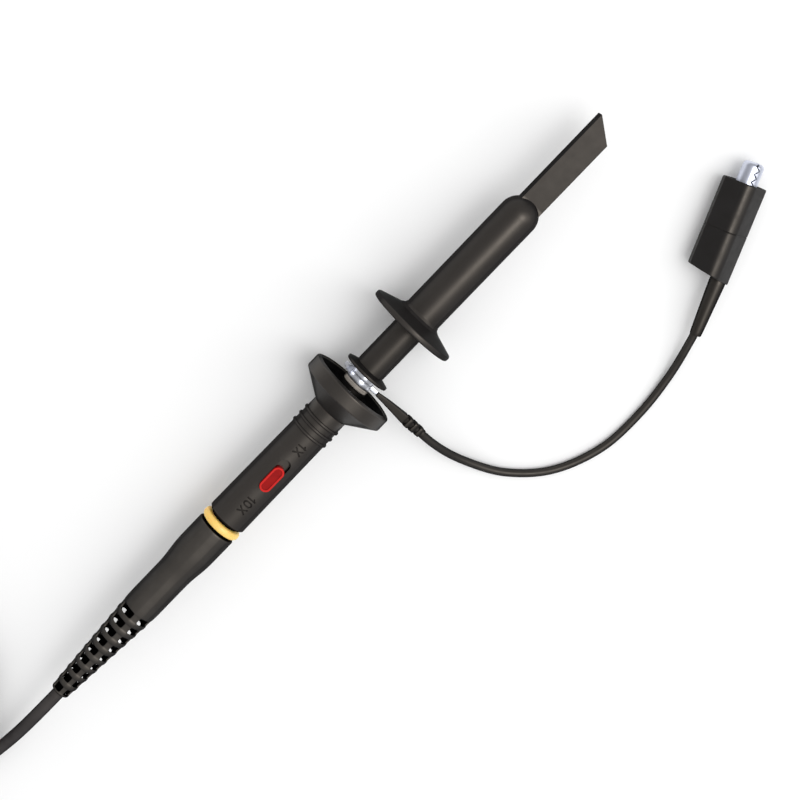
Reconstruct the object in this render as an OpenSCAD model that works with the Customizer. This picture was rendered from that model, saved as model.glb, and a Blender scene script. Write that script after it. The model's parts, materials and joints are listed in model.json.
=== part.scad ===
// Passive oscilloscope probe: handle with range switch, pull-off hook tip,
// ground lead with crocodile clip, coaxial cable, compensation box and plug.
// Millimetres. Origin on the probe axis in the front plane of the finger guard.
// +X runs to the tip, +Z is the switch side, -Y is the ground lead's side.
// The probe lies on a bench at z = -rest_h.

/* [Handle] */
// Diameter of the handle at its rear edge
handle_rear_d = 10.2; // [8:0.1:14]
// Diameter of the handle where the guard's cone starts
handle_front_d = 9.6; // [8:0.1:14]
// Length of the handle from its rear edge to the guard's front plane
handle_len = 44.3; // [35:0.1:70]
// Diameter of the bore that holds the circuit board
handle_bore_d = 7.8; // [6:0.1:9]
// Diameter of the finger guard
guard_d = 22.75; // [16:0.25:30]
// Length of the guard's cylindrical rim
guard_rim_len = 3.6; // [2:0.1:6]
// Depth of the dish in the guard's front
dish_depth = 2.6; // [0.5:0.1:3]

/* [Range switch] */
// Width of the slot in the handle
slot_w = 3.0; // [2:0.1:4]
// Front end of the slot behind the guard's front plane
slot_front = 22.7; // [20:0.1:30]
// Length of the sliding knob
knob_len = 7.2; // [4:0.1:10]
// Travel of the knob from 10X to 1X
knob_travel = 2.2; // [1:0.1:4]
// Height of the knob's top above the probe axis
knob_top = 5.5; // [5:0.1:7]

/* [Cable and boot] */
// Outer diameter of the coaxial cable
cable_d = 3.2; // [2.5:0.1:5]
// Number of window stations in the flexible boot
window_rows = 9; // [4:1:14]
// Distance between window stations
window_pitch = 3.29; // [2.5:0.01:5]
// Length of a window along the boot
window_len = 1.75; // [1:0.05:3]
// Radius of the coil's outer turn
coil_r = 40; // [35:1:60]
// Distance between neighbouring turns of the coil
coil_pitch = 3.5; // [3.3:0.1:6]

/* [Hook tip] */
// Diameter of the ground barrel
barrel_d = 5.0; // [4:0.1:5.5]
// Diameter of the carrier tube
carrier_d = 7.75; // [6.5:0.05:9]
// Diameter of the carrier's small rear flange
small_flange_d = 12.0; // [9:0.1:15]
// Diameter of the sheath behind the dome
sheath_d = 9.65; // [8:0.05:12]
// Diameter of the sheath's finger flange
sheath_flange_d = 23; // [16:0.5:28]
// Width of the beak
beak_w = 6.1; // [4:0.1:8]
// Thickness of the beak
beak_t = 3.4; // [2.5:0.1:5]
// Diameter of the hook wire
hook_d = 0.65; // [0.4:0.05:1]

/* [Ground lead] */
// Outer diameter of the spring ring
ring_d = 6.6; // [6:0.1:8]
// Outer diameter of the ground wire
lead_d = 1.9; // [1.2:0.1:3]
// Heading of the clip, from +X toward +Y
clip_heading = 24.2; // [0:0.1:90]
// Roll of the jaws inside the sleeve
jaw_roll = 12.6; // [0:0.1:90]
// Number of teeth on a jaw
jaw_teeth = 4; // [2:1:8]

/* [Plug] */
// Length of the compensation box
box_len = 36; // [25:1:60]
// Width of the compensation box
box_w = 15; // [12:0.5:22]
// Height of the compensation box
box_h = 14.6; // [10:0.1:18]
// Diameter of the plug's centre pin
pin_d = 1.35; // [1.3:0.01:1.4]
// Outer diameter of the bayonet sleeve
bayonet_d = 14.5; // [13:0.1:16]

/* [Hidden] */
$fn = 48;
gap = 0.05;
rest_h = sheath_flange_d / 2;
rear_x = -handle_len;
handle_r0 = handle_rear_d / 2;
handle_r1 = handle_front_d / 2;
cone_x = -7.9;
bore_r = handle_bore_d / 2;
guard_r = guard_d / 2;
hub_r = 3.6;
barrel_r = barrel_d / 2;

slot_x1 = -slot_front;
slot_x0 = slot_x1 - knob_len - knob_travel - 2 * gap;
knob_x0 = slot_x0 + gap;
knob_x1 = knob_x0 + knob_len;
slider_top = 3.5;
board_t = 0.8;
board_drop = 0.4;
board_w = 2 * sqrt(pow(bore_r - 0.05, 2) - pow(board_t + board_drop, 2));

cable_r = cable_d / 2;
boot_front = rear_x - 3.2;
boot_step = -55.9;
boot_solid_x = -73.8;
boot_end = -104.5;
boot_r = 4.43;
boot_end_r = 2.4;
spigot_r = bore_r;
ring_gap = 0.5;
first_window = -102.9;

tube_r = carrier_d / 2;
flange_r = small_flange_d / 2;
carrier_x0 = 4.4;
carrier_x1 = 30;
nose_x = 36;
sheath_r = sheath_d / 2;
sheath_x0 = 19.4;
sheath_cav_x = 52.5;
dome_x = 55.3;
beak_y0 = -beak_w / 2 - 0.25;
beak_y1 = beak_w / 2 - 0.25;
beak_long = 84.9;
beak_short = 80.7;
hook_y = -1.9;
hook_r = hook_d / 2;
curl_r = 1.4;
slot_h = hook_r + 0.2;
curl_x = 78.6;

ring_x0 = 1.42;
ring_x1 = 4.36;
lead_r = lead_d / 2;
lead_tilt = 15.7;
tab_y = -6.5;
tab_x0 = 1.9;
tab_x1 = 3.1;
tab_end = tab_y - 2;
lead_boot_len = 16.3;
clip_x = 95.1;
clip_y = -38.0;
clip_z = 4.5 - rest_h;
sleeve_back = -20.9;
sleeve_front = 3.5;
tail_y = -3.1;
tail_x = -34.8;
jaw_front = 8.7;
jaw_gap = 0.03;

coil_x = boot_end - 42.5;
coil_y = coil_r;
coil_turns_in = 2;
coil_turns_out = 2.5;
cable_floor = cable_r - rest_h;
cable_split = boot_end - 1.5;
cable_sway = 0.65;
box_y = 2 * coil_r + 2;
box_x0 = coil_x + 27;
box_x1 = box_x0 + box_len;
box_z = box_h / 2 - rest_h;
plug_x = box_x1;

// ---------- curves ----------

function arc(cx, cy, r, a0, a1, n = 6) =
  [for (i = [0:n]) [cx + r * cos(a0 + (a1 - a0) * i / n), cy + r * sin(a0 + (a1 - a0) * i / n)]];

function unit(v) = v / norm(v);

function ease(t) = t <= 0 ? 0 : t >= 1 ? 1 : t * t * (3 - 2 * t);

function spline(p, n) =
  [for (i = [1:len(p) - 3], k = [0:n - 1])
    let (t = k / n)
    0.5 * (2 * p[i]
      + (p[i + 1] - p[i - 1]) * t
      + (2 * p[i - 1] - 5 * p[i] + 4 * p[i + 1] - p[i + 2]) * t * t
      + (3 * p[i] - p[i - 1] - 3 * p[i + 1] + p[i + 2]) * t * t * t)];

function tangent(p, i) = unit(p[min(i + 1, len(p) - 1)] - p[max(i - 1, 0)]);

function section(p, i, up, r, sides) =
  let (t = tangent(p, i), s = unit(cross(up, t)), u = cross(t, s))
  [for (k = [0:sides - 1]) p[i] + r * (cos(360 * k / sides) * s + sin(360 * k / sides) * u)];

module tube(p, r, up = [0, 0, 1], sides = 12) {
  rows = len(p);
  points = [for (i = [0:rows - 1]) each section(p, i, up, r, sides)];
  wall = [for (i = [0:rows - 2], k = [0:sides - 1])
    let (j = (k + 1) % sides)
    [i * sides + k, (i + 1) * sides + k, (i + 1) * sides + j, i * sides + j]];
  back = [for (k = [0:sides - 1]) k];
  front = [for (k = [sides - 1:-1:0]) (rows - 1) * sides + k];
  polyhedron(points, concat(wall, [back, front]), convexity = 10);
}

// A solid of revolution about the probe axis; the profile is [radius, x].
module turned(profile) {
  rotate([0, 90, 0]) rotate_extrude(convexity = 8) polygon(profile);
}

module rod(x0, x1, r, y = 0, z = 0) {
  translate([x0, y, z]) rotate([0, 90, 0]) cylinder(r = r, h = x1 - x0);
}

module pipe(x0, x1, r, hole) {
  difference() {
    rod(x0, x1, r);
    rod(x0 - 1, x1 + 1, hole);
  }
}

module torus(x, r, bead) {
  rotate([0, 90, 0]) rotate_extrude(convexity = 4) translate([r, x]) circle(r = bead, $fn = 24);
}

module block(x0, x1, y0, y1, z0, z1) {
  translate([x0, y0, z0]) cube([x1 - x0, y1 - y0, z1 - z0]);
}

// An upright slab with round ends along X.
module obround(x0, x1, w, z0, z1) {
  translate([0, 0, z0]) linear_extrude(height = z1 - z0) union() {
    translate([x0 + w / 2, 0]) circle(r = w / 2);
    translate([x1 - w / 2, 0]) circle(r = w / 2);
    translate([x0 + w / 2, -w / 2]) square([x1 - x0 - w, w]);
  }
}

// ---------- handle ----------

mark_w = 2.4;
mark_line = 0.4;
mark_depth = 0.2;

module digit_one(x) {
  block(x, x + mark_line, -mark_w / 2, mark_w / 2, 4.6, 6);
  translate([x + 0.15, 0.08 - mark_w / 2, 4.6]) rotate([0, 0, 38]) cube([1, mark_line * 0.8, 1.4]);
}

module digit_zero(x) {
  difference() {
    obround_y(x, 1.5, mark_w);
    obround_y(x + mark_line, 1.5 - 2 * mark_line, mark_w - 2 * mark_line);
  }
}

module obround_y(x, w, len) {
  translate([x + w / 2, 0, 4.6]) linear_extrude(height = 1.4) union() {
    translate([0, len / 2 - w / 2]) circle(r = w / 2);
    translate([0, w / 2 - len / 2]) circle(r = w / 2);
    translate([-w / 2, w / 2 - len / 2]) square([w, len - w]);
  }
}

module letter_x(x) {
  for (a = [-32, 32]) {
    translate([x + 0.8, 0, 4.6]) rotate([0, 0, a]) translate([-mark_line / 2, -mark_w * 0.56, 0])
      cube([mark_line, mark_w * 1.12, 1.4]);
  }
}

module marks() {
  letter_x(-39.7);
  digit_zero(-37.7);
  digit_one(-35.8);
  letter_x(-20.4);
  digit_one(-18.3);
}

module handle_body() {
  rim = 0.4;
  outer = concat(
    [[bore_r, rear_x], [handle_r0 - 0.5, rear_x], [handle_r0, rear_x + 0.5], [handle_r1, cone_x]],
    arc(guard_r - rim, rim - guard_rim_len, rim, -60, 0, 4),
    arc(guard_r - rim, -rim, rim, 0, 90, 4),
    arc(guard_r - 1.3, 0, 0.3, 60, 0, 1),
    [[guard_r - 2.1, -dish_depth * 0.55], [hub_r + 1.4, -dish_depth], [hub_r, -dish_depth],
     [barrel_r, -dish_depth], [barrel_r, cone_x], [bore_r, cone_x]]);
  color([0.24, 0.22, 0.2]) difference() {
    union() {
      turned(outer);
      for (x = [-15.0, -12.95, -10.9]) torus(x, handle_r1 + 0.02, 0.4);
    }
    obround(slot_x0, slot_x1, slot_w, 0, 8);
    difference() {
      marks();
      rotate([0, 90, 0]) translate([0, 0, rear_x])
        cylinder(r1 = handle_r0 - mark_depth, r2 = handle_r1 - mark_depth, h = cone_x - rear_x);
    }
  }
}

module tip_insulator() {
  color([0.09, 0.09, 0.1]) difference() {
    rotate([0, 90, 0]) union() {
      translate([0, 0, 17]) cylinder(r1 = barrel_r - 0.1, r2 = 0.9, h = 2.2);
      translate([0, 0, -10]) cylinder(r = 1.9, h = 27);
    }
    rod(-11, 20, 0.4);
  }
}

module guard_hub() {
  color([0.09, 0.09, 0.1])
    turned([[barrel_r, -dish_depth], [hub_r, -dish_depth], [hub_r, 0], [hub_r - 0.3, 0.3], [barrel_r, 0.3]]);
}

module barrel_collar() {
  color([0.38, 0.35, 0.32])
    turned([[barrel_r, 0.3], [3.25, 0.3], [3.45, 0.5], [3.45, 1.2], [3.25, 1.4], [barrel_r, 1.4]]);
}

module ground_barrel() {
  color([0.78, 0.79, 0.8])
    turned([[1.9, -9.5], [barrel_r, -9.5], [barrel_r, 16.7], [barrel_r - 0.3, 17], [1.9, 17]]);
}

module tip_needle() {
  color([0.85, 0.75, 0.5]) union() {
    rod(-12.5, 23.4, 0.4);
    rotate([0, 90, 0]) translate([0, 0, 23.4]) cylinder(r1 = 0.4, r2 = 0.08, h = 1.3);
  }
}

module circuit_board() {
  color([0.1, 0.35, 0.2]) difference() {
    block(-37, -10.6, -board_w / 2, board_w / 2, -board_t - board_drop, -board_drop);
    block(-37.5, -34, -0.7, 0.7, -2, 1);
  }
}

module input_resistor() {
  color([0.3, 0.5, 0.65]) union() {
    rod(-20.1, -14.1, 0.9, 0, 1.3);
    rod(-21.4, -12.8, 0.22, 0, 1.3);
    for (x = [-21.2, -13]) translate([x, 0, -0.4]) cylinder(r = 0.22, h = 1.7);
  }
}

module input_capacitor() {
  color([0.75, 0.6, 0.4]) block(-19, -16, -1, 1, -board_t - 1.4, -board_t - 0.4);
}

module switch_pads() {
  color([0.85, 0.7, 0.35]) block(-32.3, -23.5, -1.6, 1.6, -0.4, -0.3);
}

// ---------- range switch ----------

module switch_slider() {
  w = slot_w - 2 * gap;
  color([0.2, 0.18, 0.17]) difference() {
    union() {
      block(slot_x0 - knob_travel, slot_x1 + gap, -2.1, 2.1, 1.9, 3.0);
      block(slot_x0 - knob_travel, slot_x1 + gap, -w / 2, w / 2, 3.0, slider_top);
    }
    block(knob_x0 + 2, knob_x1 - 2, -1.2, 1.2, 1, 2.4);
  }
}

module switch_knob() {
  w = slot_w - 2 * gap;
  color([0.78, 0.1, 0.09]) difference() {
    obround(knob_x0, knob_x1, w, slider_top, knob_top);
    obround(knob_x0 + 0.45, knob_x1 - 0.45, w - 0.9, knob_top - 0.2, knob_top + 1);
  }
}

module switch_wiper() {
  mid = (knob_x0 + knob_x1) / 2;
  color([0.85, 0.7, 0.35]) union() {
    block(mid - 1.6, mid + 1.6, -1.2, 1.2, 2.2, 2.4);
    block(mid - 1.6, mid - 1.4, -1.2, 1.2, -0.25, 2.4);
    block(mid + 1.4, mid + 1.6, -1.2, 1.2, -0.25, 2.4);
    block(mid - 1.6, mid - 0.4, -1.2, 1.2, -0.25, -0.1);
    block(mid + 0.4, mid + 1.6, -1.2, 1.2, -0.25, -0.1);
  }
}

// ---------- boot and cable ----------

module marker_ring() {
  x = boot_front + ring_gap;
  w = 2.2;
  e = 0.5;
  color([1.0, 0.84, 0.43]) turned(concat(
    [[spigot_r, x + w]],
    arc(handle_r0 + 0.05 - e, x + w - e, e, 90, 0, 5),
    arc(handle_r0 + 0.05 - e, x + e, e, 0, -90, 5),
    [[spigot_r, x]]));
}

function boot_r_at(x) = boot_end_r + (boot_r - boot_end_r) * (x - boot_end) / (boot_solid_x - boot_end);

module cable_boot() {
  half = window_len / 2;
  bead = 0.13;
  wave = [for (i = [window_rows - 1:-1:0], s = [1, 0])
    let (x = first_window + i * window_pitch)
    s == 1 ? [boot_r_at(x + half) + bead, x + half + 0.35] : [boot_r_at(x), x]];
  color([0.24, 0.22, 0.2]) difference() {
    turned(concat(
      [[0, -38], [spigot_r, -38], [spigot_r, boot_front], [handle_r0 - 0.25, boot_front],
       [handle_r0, boot_front - 0.25], [handle_r0, boot_step],
       [boot_r + 0.05, boot_step - 6.2], [boot_r, boot_solid_x]],
      wave,
      [[boot_end_r + 0.1, boot_end + 0.35], [boot_end_r - 0.1, boot_end], [0, boot_end]]));
    rod(boot_end - 1, -37, cable_r + 0.02);
    rod(-58, -37, 2.4);
    for (i = [0:window_rows - 1], a = [45, 135]) {
      x = first_window + i * window_pitch;
      w = boot_r_at(x) * 1.02;
      translate([x - half, 0, 0]) rotate([a, 0, 0]) translate([0, -w / 2, -8]) cube([window_len, w, 16]);
    }
  }
}

module crimp_ferrule() {
  color([0.72, 0.72, 0.7]) pipe(-57.5, -40, 2.4, cable_r);
}

// The straight start of the cable, gripped by the ferrule and led through the boot.
module cable_start() {
  color([0.16, 0.15, 0.15]) rod(cable_split, -40, cable_r);
}

// The cable sags from the boot to the bench, winds inward for two turns
// and outward over them, then runs to the compensation box.
module cable_coil() {
  n_in = 28 * coil_turns_in;
  n_out = 28 * coil_turns_out;
  r_in = coil_r - coil_pitch * coil_turns_in;
  rise = cable_d + 0.1;
  end_y = coil_y + r_in + coil_pitch * coil_turns_out;
  sag = concat([[cable_split, 0, 0], [cable_split - 1, 0, 0]],
    [for (i = [1:10])
      let (t = i / 10)
      [cable_split - 1 + (coil_x - cable_split + 1) * t, -cable_sway * pow(sin(180 * t), 2),
       cable_floor * ease(t)]]);
  inward = [for (i = [1:n_in])
    let (t = i / n_in, a = -90 - 360 * coil_turns_in * t, r = coil_r - coil_pitch * coil_turns_in * t)
    [coil_x + r * cos(a), coil_y + r * sin(a), cable_floor + rise * ease((i - n_in + 6) / 12)]];
  outward = [for (i = [1:n_out])
    let (t = i / n_out, a = -90 - 360 * coil_turns_out * t, r = r_in + coil_pitch * coil_turns_out * t)
    [coil_x + r * cos(a), coil_y + r * sin(a), cable_floor + rise * ease((i + 6) / 12)]];
  run = [for (i = [1:8])
    let (t = i / 8)
    [coil_x + (box_x0 - 12.5 - coil_x) * t, end_y + (box_y - end_y) * ease(t),
     cable_floor + rise + (box_z - cable_floor - rise) * ease(t)]];
  last = [for (x = [-12, 4]) [box_x0 + x, box_y, box_z]];
  color([0.16, 0.15, 0.15]) tube(concat(sag, inward, outward, run, last), cable_r, sides = 14);
}

module cable_core() {
  color([0.8, 0.5, 0.3]) rod(-40, -35, 0.5);
}

// ---------- hook tip ----------

module hook_carrier() {
  color([0.11, 0.11, 0.12]) turned([
    [barrel_r + gap, carrier_x0], [flange_r - 0.2, carrier_x0], [flange_r, carrier_x0 + 0.2],
    [flange_r, carrier_x0 + 0.7], [tube_r, carrier_x0 + 1.4], [tube_r, carrier_x1],
    [1.6, carrier_x1], [1.6, nose_x], [0.4, nose_x], [0.4, 27.5], [1.4, 27.5], [1.4, 20.5],
    [barrel_r + gap, 19.5]]);
}

module tip_socket() {
  color([0.85, 0.7, 0.35]) turned([[0.42, 20.5], [1.4, 20.5], [1.4, 27.5], [0, 27.5], [0, 26], [0.42, 26]]);
}

module hook_wire() {
  straight = [[27.5, 0, 0], [32, 0, 0], [nose_x, 0, 0]];
  bend = [for (i = [1:6]) [nose_x + 6 * i / 6, hook_y * ease(i / 6), 0]];
  run = [for (x = [48, 56, 64, 72, curl_x]) [x, hook_y, 0]];
  curl = [for (i = [1:12])
    let (a = 180 * i / 12)
    [curl_x + curl_r * sin(a), hook_y + curl_r - curl_r * cos(a), 0]];
  end = [[curl_x - 1, hook_y + 2 * curl_r, 0]];
  color([0.8, 0.81, 0.82]) tube(concat(straight, bend, run, curl, end), hook_r, sides = 12);
}

module hook_spring() {
  turns = 8;
  x0 = carrier_x1 + 0.26;
  x1 = sheath_cav_x - 0.26;
  helix = [for (i = [0:turns * 18])
    let (a = 20 * i, t = i / (turns * 18))
    [x0 + (x1 - x0) * t, 2.7 * cos(a), 2.7 * sin(a)]];
  color([0.75, 0.76, 0.78]) tube(helix, 0.25, up = [1, 0, 0], sides = 8);
}

module hook_sheath() {
  rim = 0.5;
  fr = sheath_flange_d / 2;
  cav = tube_r + 0.06;
  color([0.24, 0.22, 0.2]) difference() {
    union() {
      turned(concat(
        [[0, sheath_x0], [fr - rim, sheath_x0]],
        arc(fr - rim, sheath_x0 + rim, rim, -90, 0, 4),
        arc(fr - rim, sheath_x0 + 1.5 - rim, rim, 0, 55, 4),
        [[sheath_r + 1.2, sheath_x0 + 3.1], [sheath_r + 0.3, sheath_x0 + 3.7], [sheath_r, sheath_x0 + 4.4],
         [sheath_r, dome_x], [0, dome_x]]));
      translate([dome_x, 0, 0]) rotate([0, 90, 0]) sphere(r = sheath_r);
      translate([0, 0, -beak_t / 2]) linear_extrude(height = beak_t) polygon([
        [dome_x - 2, beak_y0], [beak_short, beak_y0], [beak_long, beak_y1], [dome_x - 2, beak_y1]]);
    }
    rod(sheath_x0 - 1, sheath_cav_x, cav);
    rod(sheath_cav_x - 1, 76, hook_r + 0.12, hook_y);
    block(75, 90, hook_y - slot_h, hook_y + 2 * curl_r + slot_h, -slot_h, slot_h);
  }
}

// ---------- ground lead ----------

module ground_ring() {
  r = ring_d / 2;
  mid = (ring_x0 + ring_x1) / 2;
  color([0.78, 0.79, 0.8]) difference() {
    union() {
      rod(ring_x0, ring_x1, r);
      for (s = [-1, 1]) {
        translate([mid, 3.05, 0.72 * s]) rotate([14 * s, 0, 0]) block(-1.35, 1.35, -0.3, 2.7, -0.25, 0.25);
      }
      block(tab_x0, tab_x1, tab_end, -2.8, -0.3, 0.3);
    }
    rod(ring_x0 - 1, ring_x1 + 1, barrel_r + 0.04);
    block(ring_x0 - 1, ring_x1 + 1, 1, 8, -0.46, 0.46);
    block(mid - 0.09, mid + 0.09, -2.4, 8, -4, 4);
  }
}

module on_lead_boot() {
  translate([(ring_x0 + ring_x1) / 2 - 0.4, tab_y, 0]) rotate([-lead_tilt, 0, 180]) children();
}

module lead_boot() {
  color([0.12, 0.12, 0.12]) difference() {
    on_lead_boot() union() {
      rotate([-90, 0, 0]) cylinder(r1 = 0.85, r2 = 1.5, h = 9.3);
      translate([0, 9.3, 0]) rotate([-90, 0, 0]) cylinder(r = 1.15, h = lead_boot_len - 9.3);
      for (y = [10.1, 12.1, 14.1]) translate([0, y, 0]) rotate([-90, 0, 0]) cylinder(r = 1.4, h = 1.3);
    }
    block(tab_x0, tab_x1, tab_end, 0, -0.3, 0.3);
    tube(lead_line(), lead_r, sides = 12);
  }
}

function lead_line() = spline([
  [2.5, -8, -1.2], [2.5, -15, -2.6], [2.2, -26, -5.6], [3.5, -36, -9.2],
  [8, -46.5, lead_r - rest_h], [16.5, -55, lead_r - rest_h], [28.5, -60, lead_r - rest_h],
  [41, -60.7, lead_r - rest_h], [52.5, -59, -10], [62.5, -55.6, -8.2],
  [69, -52.9, clip_z - 0.1], [76.7, -49.5, clip_z], [84, -46.2, clip_z], [91, -43.1, clip_z]], 6);

module lead_wire() {
  color([0.13, 0.13, 0.13]) tube(lead_line(), lead_r, sides = 12);
}

module at_clip() {
  translate([clip_x, clip_y, clip_z]) rotate([0, 0, clip_heading]) children();
}

module at_jaws() {
  at_clip() rotate([jaw_roll, 0, 0]) children();
}

module clip_tail() {
  color([0.14, 0.14, 0.14]) difference() {
    at_clip() translate([tail_x, tail_y, 0]) rotate([0, 90, 0])
      cylinder(r1 = 1.35, r2 = 1.95, h = sleeve_back + 2 - tail_x);
    tube(lead_line(), lead_r, sides = 12);
  }
}

module sleeve_section(inset) {
  w = 5.5 - inset;
  h = 4.5 - inset;
  e = 0.9;
  polygon([[w, e], [w, -e], [1.1, -h], [-1.1, -h], [-w, -e], [-w, e], [-1.1, h], [1.1, h]]);
}

module clip_sleeve() {
  color([0.1, 0.1, 0.1]) at_clip() difference() {
    translate([sleeve_back, 0, 0]) rotate([90, 0, 90])
      linear_extrude(height = sleeve_front - sleeve_back) sleeve_section(0);
    translate([sleeve_back + 1.6, 0, 0]) rotate([90, 0, 90]) linear_extrude(height = 40) sleeve_section(0.7);
    translate([sleeve_back - 2, tail_y, 0]) rotate([0, 90, 0]) cylinder(r = 1.95, h = 6);
    translate([sleeve_back, -5.5, -6]) rotate([0, 0, -11]) translate([-6, -2, 0]) cube([6, 16, 12]);
  }
}

// One pressed half of the clip: a tapered shell with a toothed edge.
module jaw_half(side) {
  tooth = (jaw_front - 3.2) / jaw_teeth;
  difference() {
    intersection() {
      translate([-2.2, 0, 0]) rotate([0, 90, 0]) cylinder(r1 = 2.8, r2 = 2.3, h = jaw_front + 2.2);
      block(-2.2, jaw_front, side > 0 ? jaw_gap : -4, side > 0 ? 4 : -jaw_gap, -4, 4);
    }
    translate([-3, 0, 0]) rotate([0, 90, 0]) cylinder(r1 = 2.3, r2 = 1.8, h = jaw_front + 2.6);
    block(-3, 0.4, -0.8, 0.8, -4, 4);
    for (i = [0:jaw_teeth]) {
      x = 3.2 + i * tooth + (side > 0 ? 0 : tooth / 2);
      translate([x, 0, 0]) rotate([0, 0, 45]) cube([tooth * 0.6, tooth * 0.6, 8], center = true);
    }
  }
}

module fixed_jaw() {
  color([0.8, 0.81, 0.83]) at_jaws() difference() {
    union() {
      jaw_half(-1);
      block(-14, -1.0, -2.0, -1.5, -1.6, 1.6);
      for (z = [-1.75, 1.25]) block(-1.5, 1.5, -1.9, 1.2, z, z + 0.5);
    }
    translate([0, 0, -5]) cylinder(r = 0.5, h = 10);
  }
}

module moving_jaw() {
  color([0.8, 0.81, 0.83]) at_jaws() difference() {
    union() {
      jaw_half(1);
      block(-12, -1.0, 2.1, 2.6, -1.2, 1.2);
      for (z = [-1.22, 0.72]) block(-1.5, 1.5, -1.0, 2.2, z, z + 0.5);
    }
    translate([0, 0, -5]) cylinder(r = 0.53, h = 10);
  }
}

module jaw_pin() {
  color([0.7, 0.7, 0.72]) at_jaws() translate([0, 0, -2]) cylinder(r = 0.5, h = 4);
}

module jaw_spring() {
  color([0.6, 0.6, 0.62]) at_jaws() union() {
    for (z = [-0.38, 0, 0.38])
      translate([0, 0, z]) rotate_extrude() translate([0.8, 0]) circle(r = 0.2, $fn = 24);
    rotate([0, 0, 166]) translate([0.8, 0, 0.38]) rotate([0, 90, 0]) cylinder(r = 0.15, h = 7);
    rotate([0, 0, -170.4]) translate([0.8, 0, -0.38]) rotate([0, 90, 0]) cylinder(r = 0.15, h = 7);
  }
}

// ---------- compensation box and plug ----------

module at_plug() {
  translate([plug_x, box_y, box_z]) children();
}

module box_shell() {
  wall = 1.4;
  e = 1.2;
  module plan(inset) {
    w = box_w / 2 - inset;
    x0 = box_x0 + inset;
    x1 = box_x1 - inset;
    polygon([[x0, e - w], [x0 + e, -w], [x1 - e, -w], [x1, e - w],
             [x1, w - e], [x1 - e, w], [x0 + e, w], [x0, w - e]]);
  }
  difference() {
    translate([0, box_y, -rest_h]) linear_extrude(height = box_h) plan(0);
    translate([0, box_y, wall - rest_h]) linear_extrude(height = box_h - 2 * wall) plan(wall);
    rod(box_x0 - 1, box_x0 + 3, 2.6, box_y, box_z);
    rod(box_x1 - 3, box_x1 + 1, 4.0, box_y, box_z);
  }
}

module box_base() {
  color([0.22, 0.21, 0.2]) difference() {
    box_shell();
    block(box_x0 - 1, box_x1 + 1, box_y - box_w, box_y + box_w, box_z, box_z + box_h);
  }
}

module box_cover() {
  color([0.22, 0.21, 0.2]) difference() {
    box_shell();
    block(box_x0 - 1, box_x1 + 1, box_y - box_w, box_y + box_w, box_z - box_h, box_z);
    translate([box_x0 + 22, box_y, box_z]) cylinder(r = 1.6, h = box_h);
  }
}

module box_board() {
  color([0.1, 0.35, 0.2]) block(box_x0 + 6, box_x1 - 4.5, box_y - 5, box_y + 5, box_z - 2.2, box_z - 1);
}

module trimmer_body() {
  color([0.92, 0.9, 0.85]) difference() {
    translate([box_x0 + 22, box_y, box_z - 1]) cylinder(r = 2.6, h = 3.2);
    translate([box_x0 + 22, box_y, box_z]) cylinder(r = 1.35, h = 4);
  }
}

module trimmer_screw() {
  color([0.82, 0.7, 0.4]) difference() {
    translate([box_x0 + 22, box_y, box_z]) cylinder(r = 1.3, h = 2.9);
    translate([box_x0 + 22, box_y, box_z + 2.6]) cube([4, 0.5, 1.4], center = true);
  }
}

module box_boot() {
  color([0.24, 0.22, 0.2]) difference() {
    translate([box_x0, box_y, box_z]) rotate([0, 90, 0]) union() {
      translate([0, 0, -12]) cylinder(r1 = 2.2, r2 = 3.6, h = 12);
      cylinder(r = 2.6, h = 3);
      for (i = [0:3]) translate([0, 0, 2.4 * i - 10]) cylinder(r = 3.1 + 0.1 * i, h = 1.2);
    }
    rod(box_x0 - 14, box_x0 + 5, cable_r + 0.35, box_y, box_z);
  }
}

module plug_body() {
  color([0.78, 0.79, 0.8]) at_plug() difference() {
    turned([[2.2, -2.6], [4.0, -2.6], [4.0, 0], [6.2, 0], [6.2, 1.6], [4.6, 1.6], [4.6, 5.2], [4.05, 5.2],
            [4.05, 21], [3.9, 21.4], [3.6, 21.4], [3.6, 8], [2.2, 8]]);
    for (a = [0, 90]) rotate([a, 0, 0]) block(12, 23, -0.3, 0.3, -6, 6);
  }
}

module plug_snap_ring() {
  color([0.6, 0.6, 0.6]) at_plug() difference() {
    turned([[4.6, 3.75], [5.3, 3.75], [5.3, 4.35], [4.6, 4.35]]);
    block(3, 5, 0, 7, -0.6, 0.6);
  }
}

module plug_dielectric() {
  color([0.95, 0.95, 0.93]) at_plug() turned([[0.5, -2.6], [2.2, -2.6], [2.2, 12], [0.5, 12]]);
}

module plug_pin() {
  color([0.88, 0.72, 0.36]) at_plug() rotate([0, 90, 0]) union() {
    translate([0, 0, -6]) cylinder(r = 0.5, h = 18);
    translate([0, 0, 12]) cylinder(r = pin_d / 2, h = 6.2);
    translate([0, 0, 18.2]) cylinder(r1 = pin_d / 2, r2 = 0.3, h = 0.7);
  }
}

module bayonet_sleeve() {
  r = bayonet_d / 2;
  color([0.78, 0.79, 0.8]) at_plug() difference() {
    union() {
      turned([[4.65, 1.7], [r - 0.5, 1.7], [r, 2.2], [r, 11.5], [r - 0.5, 12], [5.9, 12.6], [5.9, 21.2],
              [5.7, 21.5], [4.95, 21.5], [4.95, 5.9], [5.35, 5.9], [5.35, 3.7], [4.65, 3.7]]);
    }
    for (i = [0:23]) {
      rotate([15 * i, 0, 0]) translate([0, 0, r + 0.25]) rotate([45, 0, 0])
        block(2.8, 11, -0.5, 0.5, -0.5, 0.5);
    }
    for (a = [0, 180]) rotate([a, 0, 0]) {
      block(18, 23, -1.1, 1.1, 4, 8);
      for (k = [0:3]) rotate([k * 9, 0, 0]) block(17.2 - k * 0.9, 19.4 - k * 0.9, -1.1, 1.1, 4, 8);
      rotate([32, 0, 0]) translate([14.6, 0, 4]) cylinder(r = 1.25, h = 4);
    }
  }
}

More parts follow.
